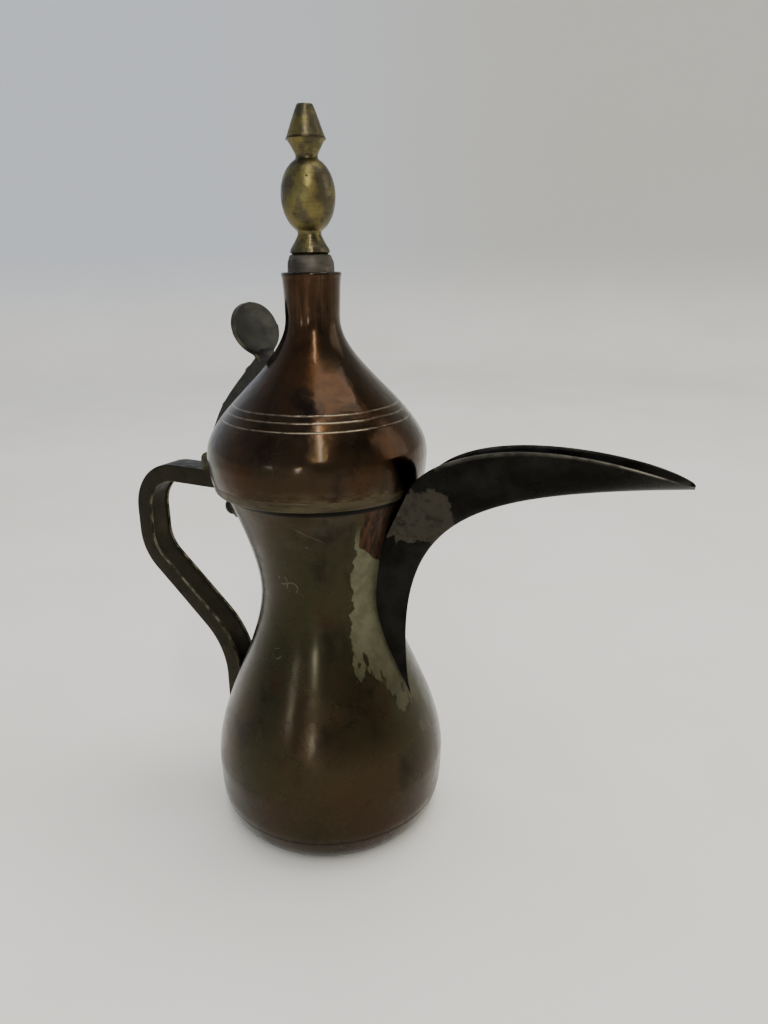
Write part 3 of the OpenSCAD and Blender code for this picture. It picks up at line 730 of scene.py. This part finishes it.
def make_paddle():
    pivot_r, pivot_h = lid_side(arm_top_h - 3 * MM, ARM_T - PADDLE_T / 2)
    place = (Matrix.Translation((lid_x - pivot_r, 0, pivot_h))
             @ Matrix.Rotation(-PADDLE_LEAN, 4, "Y") @ Matrix.Rotation(-PADDLE_TWIST, 4, "Z"))
    top = PADDLE_MID + PADDLE_HALF_L
    p = []
    for i in range(PADDLE_ROWS):
        s = i / (PADDLE_ROWS - 1)
        u = -STEM_DOWN + (top + STEM_DOWN) * math.sin(s * math.pi / 2) ** 0.9
        half = max(paddle_half(u), 0.6 * MM)
        for j in range(PADDLE_COLS):
            v = -1 + 2 * j / (PADDLE_COLS - 1)
            y = half * math.sin(v * math.pi / 2)
            near = min(1, math.hypot(y / PADDLE_HALF_W, (u - PADDLE_MID) / PADDLE_HALF_L))
            dish = PADDLE_DISH * (1 - near ** 2) * min(1, max(0, u / PADDLE_MID))
            p.append(place @ Vector((-dish, y, u)))
    piece = add_mesh("thumb_leaf", p, grid_faces(PADDLE_ROWS, PADDLE_COLS), LID,
                     "lever_metal", ["thumb_paddle"])
    solidify(piece, PADDLE_T - 0.3 * MM, 0)
    bevel(piece, 0.7 * MM, 4, 50)


# ---- materials ----

class Graph:
    """A procedural metal: a node tree around one Principled shader."""

    def __init__(self, name, metallic=1.0, coat=0.0, coat_roughness=0.1):
        self.material = bpy.data.materials.new(name)
        self.material.use_nodes = True
        self.tree = self.material.node_tree
        self.tree.nodes.clear()
        self.shader = self.add("ShaderNodeBsdfPrincipled")
        self.shader.inputs["Metallic"].default_value = metallic
        self.shader.inputs["Coat Weight"].default_value = coat
        self.shader.inputs["Coat Roughness"].default_value = coat_roughness
        out = self.add("ShaderNodeOutputMaterial")
        self.tree.links.new(self.shader.outputs[0], out.inputs[0])
        where = self.add("ShaderNodeTexCoord")
        self.at = where.outputs["Object"]
        parts = self.add("ShaderNodeSeparateXYZ", {0: self.at})
        self.x, self.y, self.z = parts.outputs

    def add(self, kind, inputs=None, **settings):
        node = self.tree.nodes.new(kind)
        for key, value in settings.items():
            setattr(node, key, value)
        for key, value in (inputs or {}).items():
            self.put(node.inputs[key], value)
        return node

    def put(self, socket, value):
        if isinstance(value, bpy.types.NodeSocket):
            self.tree.links.new(value, socket)
        else:
            socket.default_value = value

    def noise(self, size, detail=4.0, rough=0.55, stretch=(1, 1, 1), seed=0.0):
        """Noise from 0 to 1 whose spots are about size metres across."""
        at = self.add("ShaderNodeMapping", {"Vector": self.at, "Location": (seed, seed / 3, 0),
                                            "Scale": stretch}).outputs[0]
        return self.add("ShaderNodeTexNoise", {"Vector": at, "Scale": 1 / size, "Detail": detail,
                                               "Roughness": rough}).outputs[0]

    def spots(self, size, seed):
        """The distance to the nearest of points scattered about size metres apart."""
        at = self.add("ShaderNodeMapping", {"Vector": self.at,
                                            "Location": (seed, seed, seed)}).outputs[0]
        return self.add("ShaderNodeTexVoronoi",
                        {"Vector": at, "Scale": 1 / size}).outputs["Distance"]

    def span(self, value, low, high, a=0.0, b=1.0):
        """a where value is at low, b where it is at high."""
        return self.add("ShaderNodeMapRange",
                        {"Value": value, "From Min": low, "From Max": high, "To Min": a,
                         "To Max": b},
                        interpolation_type="SMOOTHSTEP").outputs[0]

    def worn(self):
        """How far the metal is rubbed bright here, where a piece says so."""
        return self.add("ShaderNodeAttribute", attribute_name="worn").outputs["Fac"]

    def math(self, op, a, b=0.0, c=0.0):
        return self.add("ShaderNodeMath", {0: a, 1: b, 2: c}, operation=op).outputs[0]

    def times(self, *values):
        out = values[0]
        for v in values[1:]:
            out = self.math("MULTIPLY", out, v)
        return out

    def most(self, *values):
        out = values[0]
        for v in values[1:]:
            out = self.math("MAXIMUM", out, v)
        return out

    def mix(self, share, a, b):
        """Colour a where share is 0, b where it is 1."""
        node = self.add("ShaderNodeMix", data_type="RGBA")
        self.put(node.inputs["Factor"], share)
        self.put(node.inputs["A"], a)
        self.put(node.inputs["B"], b)
        return node.outputs["Result"]

    def bump(self, height, strength, distance, below=None):
        inputs = {"Height": height, "Strength": strength, "Distance": distance}
        if below is not None:
            inputs["Normal"] = below
        return self.add("ShaderNodeBump", inputs).outputs[0]

    def finish(self, colour, roughness, normal=None):
        self.put(self.shader.inputs["Base Color"], colour)
        self.put(self.shader.inputs["Roughness"], roughness)
        if normal is not None:
            self.put(self.shader.inputs["Normal"], normal)
        return self.material


def rgb(r, g, b):
    return (r, g, b, 1.0)


# Marks on the body: the angle round it from +X in degrees, the height and the size in mm
BLOTS = ((-98, 80, 9), (-57, 108, 9), (-30, 70, 13), (-70, 62, 12), (150, 60, 16))
RING_DENTS = ((-85, 120, 2.4), (-93, 123, 2.0), (-76, 117, 0.6), (-99, 90, 2.2))


def off_spot(g, angle, h):
    """How far the shaded point is from a spot on the body's surface."""
    a, r = math.radians(angle), float(body_r(h * MM))
    spot = (r * math.cos(a), r * math.sin(a), h * MM)
    return g.add("ShaderNodeVectorMath", {0: g.at, 1: spot},
                 operation="DISTANCE").outputs["Value"]


def patina(g, height):
    """Olive and brown in patches, redder low down and at the blots."""
    olive, brown, dark = (rgb(0.027, 0.025, 0.012), rgb(0.035, 0.024, 0.012),
                          rgb(0.015, 0.013, 0.008))
    colour = g.mix(g.span(g.noise(32 * MM, 4, 0.55, (1, 1, 0.45)), 0.4, 0.62), olive, brown)
    shade_of = g.span(g.noise(16 * MM, 5, 0.6, (1, 1, 0.6), seed=7.0), 0.5, 0.72)
    colour = g.mix(shade_of, colour, dark)
    low = g.times(g.span(height, 50, 20), g.span(g.noise(22 * MM, 4, seed=2.0), 0.35, 0.6))
    colour = g.mix(g.math("MULTIPLY", low, 0.7), colour, rgb(0.036, 0.020, 0.011))
    for angle, h, size in BLOTS:
        blot = g.span(off_spot(g, angle, h), size * MM, size * 0.3 * MM)
        colour = g.mix(g.times(blot, g.span(g.noise(5 * MM, 4, 0.6), 0.3, 0.6), 0.6), colour,
                       rgb(0.034, 0.018, 0.009))
    return colour


def tinned_patch(g, azimuth, height, ragged):
    """The patch beside the spout's near seam, ragged at the left and dripping at its foot."""
    drips = g.math("SUBTRACT", g.noise(5 * MM, 3, 0.5, (1, 1, 0.25), seed=6.0), 0.5)
    left = g.math("MULTIPLY_ADD", ragged, 34, -35)
    foot = g.math("MULTIPLY_ADD", azimuth, -0.75, g.math("MULTIPLY_ADD", drips, 60, 60))
    return g.times(g.span(g.math("SUBTRACT", azimuth, left), -0.7, 0.7),
                   g.span(g.math("SUBTRACT", height, foot), -0.6, 0.6),
                   g.span(azimuth, 14, 8), g.span(height, 150, 138))


def streaked_wedge(g, azimuth, height, ragged):
    """The wedge above the tinned patch, which narrows downwards along the seam."""
    below = g.math("MAXIMUM", g.math("SUBTRACT", 138, height), 0)
    edge = g.math("MULTIPLY_ADD", ragged, 10, g.math("MULTIPLY_ADD", below, 2.1, -33))
    return g.times(g.span(g.math("SUBTRACT", azimuth, edge), -0.8, 0.8), g.span(azimuth, 26, 22))


def small_marks(g, azimuth, height):
    """Ring dents, a long scratch and specks. The pale rings along the dents' edges are painted
    glints; the scratch and specks are pale marks.
    """
    marks = []
    for angle, h, size in RING_DENTS:
        off = g.math("ABSOLUTE", g.math("SUBTRACT", off_spot(g, angle, h), size * MM))
        marks.append(g.times(g.span(off, 0.34 * MM, 0.1 * MM),
                             g.span(g.noise(2.4 * MM, 3, seed=h / 9), 0.46, 0.56)))
    slope = g.math("MULTIPLY_ADD", azimuth, -0.35, 122)
    scratch = g.math("ABSOLUTE", g.math("SUBTRACT", height, slope))
    marks.append(g.times(g.span(scratch, 0.4, 0.1), g.span(azimuth, -78, -72),
                         g.span(azimuth, -56, -60), 0.5))
    marks.append(g.times(g.span(g.spots(8 * MM, 2.0), 0.055, 0.02),
                         g.span(g.noise(5 * MM, 2, seed=4.0), 0.5, 0.6)))
    return g.most(*marks)


def body_copper():
    g = Graph("body_copper", metallic=0.97, coat=0.05, coat_roughness=0.15)
    azimuth = g.math("MULTIPLY", g.math("ARCTAN2", g.y, g.x), math.degrees(1))
    height = g.math("MULTIPLY", g.z, 1 / MM)
    ragged = g.math("SUBTRACT", g.noise(11 * MM, 3, 0.5, seed=5.0), 0.5)
    colour = patina(g, height)
    patch = tinned_patch(g, azimuth, height, ragged)
    mottle = g.span(g.noise(6 * MM, 5, 0.6, seed=12.0), 0.3, 0.65, 0.6, 1.0)
    fading = g.span(height, 72, 104, 0.35, 1.0)
    colour = g.mix(g.times(patch, mottle, fading), colour, rgb(0.120, 0.117, 0.070))
    rim = g.times(g.span(height, 134, 150), g.span(azimuth, -24, -60),
                  g.span(g.noise(12 * MM, 4, 0.6, (1, 1, 2), seed=14.0), 0.4, 0.65))
    colour = g.mix(g.math("MULTIPLY", rim, 0.5), colour, rgb(0.048, 0.046, 0.036))
    # The wedge beside the spout's near seam is painted in near-black and red-brown streaks.
    streaks = g.span(g.noise(2.2 * MM, 4, 0.6, (1, 1, 0.08), seed=8.0), 0.35, 0.65)
    wedge_streaks = g.mix(streaks, rgb(0.012, 0.006, 0.003), rgb(0.060, 0.026, 0.010))
    colour = g.mix(streaked_wedge(g, azimuth, height, ragged), colour, wedge_streaks)
    # Pale marks, partly painted glints along the ring dents' edges, partly a pale scratch and
    # specks.
    pale = small_marks(g, azimuth, height)
    colour = g.mix(g.math("MULTIPLY", pale, 0.55), colour, rgb(0.13, 0.12, 0.10))
    off_seam = g.math("ABSOLUTE", g.math("SUBTRACT", height, seam_h / MM))
    # Painted shade: the body is painted near black just under the mouth, where the lid's rim
    # shades it. The thin dark line along the bottom seam is the seam's own dark joint.
    grime_and_shade = g.most(g.span(height, mouth_h / MM - 2.4, mouth_h / MM - 1.4),
                   g.times(g.span(off_seam, 0.5, 0.1), 0.7))
    colour = g.mix(grime_and_shade, colour, rgb(0.004, 0.004, 0.003))
    rough = g.math("ADD", g.span(g.noise(13 * MM, 5, 0.6, seed=6.0), 0.3, 0.7, 0.2, 0.34),
                   g.math("MULTIPLY", g.most(patch, grime_and_shade), 0.2))
    dents = g.bump(g.noise(15 * MM, 1.5, 0.4), 1.0, 0.16 * MM)
    dents = g.bump(pale, 0.5, 0.1 * MM, dents)
    grain = g.noise(0.8 * MM, 3, 0.6, seed=3.0)
    return g.finish(colour, rough, g.bump(grain, 0.3, 0.02 * MM, dents))


def lid_copper():
    g = Graph("lid_copper", metallic=0.97, coat=0.12, coat_roughness=0.1)
    red, brown, dark = rgb(0.038, 0.017, 0.006), rgb(0.028, 0.017, 0.008), rgb(0.010, 0.006, 0.004)
    colour = g.mix(g.span(g.noise(24 * MM, 4, 0.55), 0.4, 0.62), red, brown)
    shade_of = g.span(g.noise(13 * MM, 5, 0.65, (1, 1, 0.5), seed=3.0), 0.48, 0.72)
    colour = g.mix(shade_of, colour, dark)
    brass = g.times(g.span(g.z, lid_h + 10 * MM, lid_h + 3 * MM),
                    g.span(g.noise(8 * MM, 5, 0.6, (1, 1, 2.5), seed=5.0), 0.42, 0.6))
    colour = g.mix(g.math("MULTIPLY", brass, 0.7), colour, rgb(0.075, 0.062, 0.034))
    neck_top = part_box("lid_shell")[1].z
    brushed = g.times(g.span(g.z, neck_top - 30 * MM, neck_top - 18 * MM),
                      g.span(g.noise(1.6 * MM, 3, 0.6, (1, 1, 0.06), seed=11.0), 0.45, 0.7))
    colour = g.mix(g.math("MULTIPLY", brushed, 0.6), colour, rgb(0.075, 0.042, 0.022))
    grime_and_shade = g.span(g.z, neck_top - 1.6 * MM, neck_top - 0.4 * MM)
    colour = g.mix(g.math("MULTIPLY", grime_and_shade, 0.8), colour, rgb(0.012, 0.009, 0.006))
    for up in GROOVES:
        off = g.math("ABSOLUTE", g.math("SUBTRACT", g.z, lid_h + up))
        line = g.times(g.span(off, 0.3 * MM, 0.12 * MM),
                       g.span(g.noise(4 * MM, 3, seed=9.0), 0.35, 0.55, 0.25, 0.9))
        colour = g.mix(line, colour, rgb(0.17, 0.14, 0.095))
    rough = g.span(g.noise(9 * MM, 5, 0.65, (1, 1, 0.35), seed=6.0), 0.3, 0.72, 0.14, 0.30)
    dents = g.bump(g.noise(8 * MM, 2, 0.5), 1.0, 0.26 * MM)
    pits = g.bump(g.span(g.spots(5 * MM, 1.0), 0.1, 0.02), 0.6, 0.05 * MM, dents)
    grain = g.noise(0.9 * MM, 3, 0.6, (1, 1, 0.3))
    return g.finish(colour, rough, g.bump(grain, 0.45, 0.025 * MM, pits))


def spout_copper():
    g = Graph("spout_copper", metallic=0.97)
    colour = g.mix(g.span(g.noise(18 * MM, 5, 0.6), 0.4, 0.65), rgb(0.005, 0.005, 0.004),
                   rgb(0.012, 0.0115, 0.010))
    ragged = g.math("SUBTRACT", g.noise(8 * MM, 4, 0.65), 0.5)
    tinned = g.times(g.span(g.math("MULTIPLY_ADD", ragged, 22 * MM, g.x), 61 * MM, 60 * MM),
                     g.span(g.math("MULTIPLY_ADD", ragged, 16 * MM, g.z), 139 * MM, 139.6 * MM),
                     g.span(g.math("MULTIPLY_ADD", ragged, -26 * MM, g.z), 160 * MM, 159 * MM),
                     g.span(g.noise(4 * MM, 4, 0.65, seed=4.0), 0.3, 0.55, 0.35, 1.0))
    colour = g.mix(tinned, colour, rgb(0.038, 0.034, 0.026))
    lip = g.times(g.worn(), g.span(g.noise(7 * MM, 4, 0.6, seed=9.0), 0.35, 0.6, 0.3, 1.0))
    colour = g.mix(lip, colour, rgb(0.075, 0.07, 0.054))
    rough = g.span(g.noise(12 * MM, 5, 0.6, seed=6.0), 0.3, 0.7, 0.24, 0.42)
    lumps = g.bump(g.times(tinned, g.noise(2.2 * MM, 4, 0.6, seed=13.0)), 0.7, 0.25 * MM)
    dents = g.bump(g.noise(11 * MM, 1.5, 0.4), 1.0, 0.12 * MM, lumps)
    grain = g.noise(0.8 * MM, 3, 0.6, seed=3.0)
    return g.finish(colour, rough, g.bump(grain, 0.35, 0.02 * MM, dents))


def worn_metal(name, base, worn, grime_and_shade, rough, stretch=(1, 1, 1), bright=None, dent=0.1 * MM):
    """A rubbed old metal: three tones in patches, fine scratches, and bright worn edges."""
    g = Graph(name, metallic=0.96)
    colour = g.mix(g.span(g.noise(8 * MM, 4, 0.55, stretch), 0.3, 0.7), base, worn)
    colour = g.mix(g.span(g.noise(5 * MM, 5, 0.65, stretch, seed=4.0), 0.5, 0.8, 0, 0.75), colour,
                   grime_and_shade)
    edges = g.span(g.add("ShaderNodeNewGeometry").outputs["Pointiness"], 0.52, 0.6)
    rubbed = g.most(g.times(edges, 0.5), g.span(g.worn(), 0.75, 1.0))
    rubbed = g.times(rubbed, g.span(g.noise(5 * MM, 4, 0.6, seed=9.0), 0.4, 0.6))
    colour = g.mix(rubbed, colour, bright or worn)
    scratches = g.noise(0.5 * MM, 3, 0.6, (stretch[0] * 0.2, stretch[1] * 0.2, 1), seed=2.0)
    roughness = g.math("ADD", g.span(g.noise(6 * MM, 4, seed=8.0), 0.3, 0.7, rough, rough + 0.18),
                       g.span(scratches, 0.4, 0.7, 0.0, 0.08))
    dents = g.bump(g.noise(3.5 * MM, 2, 0.5), 0.8, dent)
    return g.finish(colour, roughness, g.bump(scratches, 0.5, 0.03 * MM, dents))


def handle_metal():
    return worn_metal("handle_metal", rgb(0.019, 0.018, 0.012), rgb(0.026, 0.022, 0.013),
                      rgb(0.010, 0.009, 0.007), 0.34, bright=rgb(0.13, 0.12, 0.08))


def lever_metal():
    return worn_metal("lever_metal", rgb(0.034, 0.034, 0.031), rgb(0.046, 0.045, 0.038),
                      rgb(0.018, 0.017, 0.015), 0.3, bright=rgb(0.12, 0.10, 0.06))


def brass_trim():
    return worn_metal("brass_trim", rgb(0.038, 0.031, 0.019), rgb(0.066, 0.054, 0.032),
                      rgb(0.017, 0.013, 0.009), 0.26, (0.5, 0.5, 3), bright=rgb(0.14, 0.12, 0.07))


def finial_brass():
    g = Graph("finial_brass", metallic=0.95)
    dull, brass, grime_and_shade = (rgb(0.068, 0.058, 0.034), rgb(0.135, 0.112, 0.040),
                          rgb(0.024, 0.020, 0.013))
    colour = g.mix(g.span(g.noise(9 * MM, 4, 0.6, (1, 1, 0.8), seed=3.0), 0.44, 0.6), dull, brass)
    bands = g.span(g.noise(2.4 * MM, 4, 0.6, (0.25, 0.25, 2.2), seed=5.0), 0.52, 0.72)
    colour = g.mix(g.math("MULTIPLY", bands, 0.6), colour, grime_and_shade)
    recess = g.span(g.add("ShaderNodeNewGeometry").outputs["Pointiness"], 0.49, 0.44)
    colour = g.mix(g.math("MULTIPLY", recess, 0.8), colour, grime_and_shade)
    pits = g.times(g.span(g.spots(3.5 * MM, 2.0), 0.16, 0.05),
                   g.span(g.noise(6 * MM, 2, seed=7.0), 0.45, 0.6))
    colour = g.mix(pits, colour, grime_and_shade)
    rough = g.span(g.noise(5 * MM, 4, 0.6, seed=6.0), 0.3, 0.7, 0.26, 0.46)
    turning = g.bump(g.noise(0.7 * MM, 3, 0.6, (0.08, 0.08, 1.0), seed=2.0), 0.5, 0.03 * MM)
    lumps = g.bump(g.noise(3.2 * MM, 3, 0.55, seed=8.0), 0.9, 0.28 * MM, turning)
    return g.finish(colour, rough, g.bump(pits, 0.6, -0.12 * MM, lumps))


def tin_solder():
    return worn_metal("tin_solder", rgb(0.050, 0.043, 0.034), rgb(0.105, 0.094, 0.078),
                      rgb(0.018, 0.015, 0.011), 0.42, (0.7, 0.7, 1.8), dent=0.45 * MM)


def hinge_steel():
    return worn_metal("hinge_steel", rgb(0.040, 0.037, 0.030), rgb(0.070, 0.065, 0.052),
                      rgb(0.016, 0.014, 0.012), 0.35)


FINISHES = (body_copper, lid_copper, spout_copper, handle_metal, lever_metal, brass_trim,
            finial_brass, tin_solder, hinge_steel)


def dress(pieces, materials):
    """Gives each piece, and each CAD node that still shows, the material of its slot."""
    slots = {s["node"]: s["material_slot"] for s in frame["record"]["subparts"]}
    for name, node in frame["nodes"].items():
        node.data.materials.clear()
        node.data.materials.append(materials[slots[name]])
    for piece, slot in pieces:
        piece.data.materials.clear()
        piece.data.materials.append(materials[slot])


# ---- stage, camera and lights ----

VIEW_TURN = math.radians(28)
CAMERA_REACH = 311.7 * MM
CAMERA_SIDE = 0.0831
CAMERA_UP = 0.785
CAMERA_PITCH = math.radians(18.08)
CAMERA_ROLL = math.radians(-0.71)
# The focal length over the picture's height
LENS_PER_HEIGHT = 0.75098
SENSOR = 36.0
FLOOR_R, WALL_BEND, WALL_TOP = 1.9, 0.5, 2.6
LIT_H = 0.15


def add_stage():
    """A round pale floor that sweeps up into a wall all round, well clear of the pot."""
    g = Graph("studio_paint", metallic=0.0)
    # Painted light: the wall is painted bluer on the left of the view and warmer on its right, for
    # the cool light from the left and the warm light from the right that fall on it.
    across = g.math("ADD", g.math("MULTIPLY", g.x, math.cos(VIEW_TURN)),
                    g.math("MULTIPLY", g.y, math.sin(VIEW_TURN)))
    wall = g.mix(g.span(across, -0.5, 0.6), rgb(0.63, 0.67, 0.74), rgb(0.60, 0.59, 0.54))
    floor = g.mix(g.span(g.noise(0.25, 3), 0.3, 0.7), rgb(0.90, 0.87, 0.81), rgb(0.95, 0.93, 0.88))
    paint = g.finish(g.mix(g.span(g.z, 0.02, 0.3), floor, wall), 0.75)
    flat_r = FLOOR_R - WALL_BEND
    line = [(0, 0), (flat_r, 0)]
    line += [(flat_r + WALL_BEND * math.sin(a), WALL_BEND - WALL_BEND * math.cos(a))
             for a in np.linspace(0, math.pi / 2, 12)[1:]]
    line.append((FLOOR_R, WALL_TOP))
    angle = np.linspace(0, 2 * math.pi, 96, endpoint=False)
    verts = [(r * math.cos(a), r * math.sin(a), z) for r, z in line for a in angle]
    mesh = bpy.data.meshes.new("backdrop")
    mesh.from_pydata(verts, [], grid_faces(len(line), len(angle), False, True))
    mesh.shade_smooth()
    mesh.materials.append(paint)
    stage = bpy.data.objects.new("backdrop", mesh)
    bpy.context.scene.collection.objects.link(stage)


def add_camera():
    c, s = math.cos(VIEW_TURN), math.sin(VIEW_TURN)
    place = CAMERA_REACH * Vector((CAMERA_SIDE * c + s, CAMERA_SIDE * s - c, CAMERA_UP))
    ahead = Vector((-s * math.cos(CAMERA_PITCH), c * math.cos(CAMERA_PITCH),
                    -math.sin(CAMERA_PITCH)))
    right = Vector((c, s, 0))
    up = right.cross(ahead)
    tilt = Matrix.Rotation(CAMERA_ROLL, 3, -ahead)
    right, up = tilt @ right, tilt @ up
    data = bpy.data.cameras.new("camera")
    data.sensor_fit = "VERTICAL"
    data.sensor_height = SENSOR
    data.lens = LENS_PER_HEIGHT * SENSOR
    data.clip_start = 0.01
    camera = bpy.data.objects.new("camera", data)
    camera.matrix_world = Matrix((
        (right.x, up.x, -ahead.x, place.x), (right.y, up.y, -ahead.y, place.y),
        (right.z, up.z, -ahead.z, place.z), (0, 0, 0, 1)))
    bpy.context.scene.collection.objects.link(camera)
    bpy.context.scene.camera = camera


def add_light(name, azimuth, elevation, away, width, height, power, colour):
    """A soft box that faces the pot. Azimuth 0 is at -Y and grows towards -X."""
    a, e = math.radians(azimuth), math.radians(elevation)
    middle = Vector((0, 0, LIT_H))
    way = Vector((-math.sin(a) * math.cos(e), -math.cos(a) * math.cos(e), math.sin(e)))
    data = bpy.data.lights.new(name, "AREA")
    data.shape = "RECTANGLE"
    data.size, data.size_y = width, height
    data.energy = power
    data.color = colour
    light = bpy.data.objects.new(name, data)
    light.location = middle + way * away
    light.rotation_euler = way.to_track_quat("Z", "Y").to_euler()
    light.visible_camera = False
    bpy.context.scene.collection.objects.link(light)


def add_lights():
    world = bpy.data.worlds.new("studio")
    bpy.context.scene.world = world
    world.use_nodes = True
    back = world.node_tree.nodes["Background"]
    back.inputs["Color"].default_value = (0.9, 0.94, 1.0, 1)
    back.inputs["Strength"].default_value = 0.56
    add_light("window", -13, 4, 1.5, 0.09, 0.2, 1.5, (0.80, 0.90, 1.0))
    add_light("window_left", 15, 7, 1.5, 0.14, 0.14, 0.7, (0.75, 0.87, 1.0))
    add_light("overhead_strip", -36, 48, 1.5, 0.07, 1.2, 10, (1.0, 0.95, 0.87))
    add_light("ceiling", -160, 78, 1.8, 1.3, 1.3, 20, (1.0, 0.98, 0.95))
    add_light("right_panel", -122, 24, 1.6, 0.9, 1.1, 5, (1.0, 0.97, 0.92))


make_body()
make_solder(make_spout())
make_handle()
make_lid()
make_finial()
make_arm()
make_paddle()
for bevelled in ("handle_saddle", "handle_foot_plate", "hinge_bracket", "hinge_pin"):
    bevel(frame["nodes"][bevelled], 0.35 * MM, 2)
add_stage()
add_camera()
add_lights()
materials = {make.__name__: make() for make in FINISHES}
added = [(o, o["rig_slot"]) for o in bpy.data.objects if "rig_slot" in o]
dress(added, materials)
